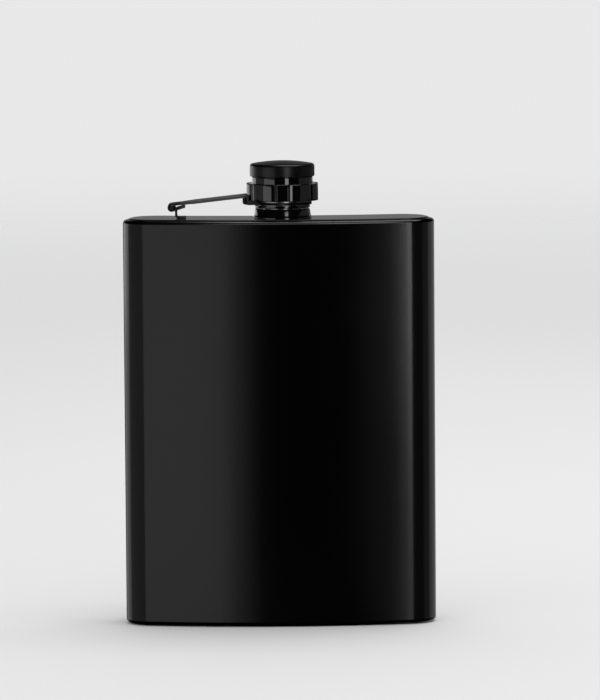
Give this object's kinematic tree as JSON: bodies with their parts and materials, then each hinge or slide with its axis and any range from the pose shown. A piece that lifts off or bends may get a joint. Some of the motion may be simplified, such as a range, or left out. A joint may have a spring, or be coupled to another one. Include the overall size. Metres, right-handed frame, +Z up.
{
  "type": "hip flask",
  "caption": "Flat curved hip flask with a captive screw cap: a lobed cap turns in the eye of a sheet arm hinged to the shoulder.",
  "frame": {"origin": "middle of the flask's footprint on the surface that it stands on", "axes": "+Z up along the neck, -Y the convex front, +Y the concave back, the cap's arm is hinged on the -X side of the shoulder"},
  "size_m": [0.095, 0.0259, 0.1422],
  "materials": {
    "satin_black_body": "satin",
    "gloss_black_cap": "gloss",
    "black_arm": "satin",
    "bare_steel": "machined",
    "silicone_seal": "matte"
  },
  "bodies": {
    "flask": {"body_shell": "satin_black_body", "shoulder_plate": "satin_black_body", "base_plate": "satin_black_body", "neck_spout": "bare_steel", "neck_collar": "gloss_black_cap", "hinge_bracket": "black_arm", "hinge_pin": "black_arm"},
    "arm": {"captive_arm": "black_arm"},
    "cap": {"cap_grip": "gloss_black_cap", "cap_cover": "gloss_black_cap", "cap_core": "bare_steel", "cap_retaining_ring": "gloss_black_cap", "cap_gasket": "silicone_seal"}
  },
  "joints": [
    {"name": "arm_swing", "type": "hinge", "parent": "flask", "child": "arm", "pos_m": [-0.0326, -0.00196, 0.12815], "axis": [0, -1, 0], "range_deg": [0, 165]},
    {"name": "cap_spin", "type": "hinge", "parent": "arm", "child": "cap", "pos_m": [0.0012, -0.00196, 0.12815], "axis": [0, 0, 1], "continuous": true}
  ]
}
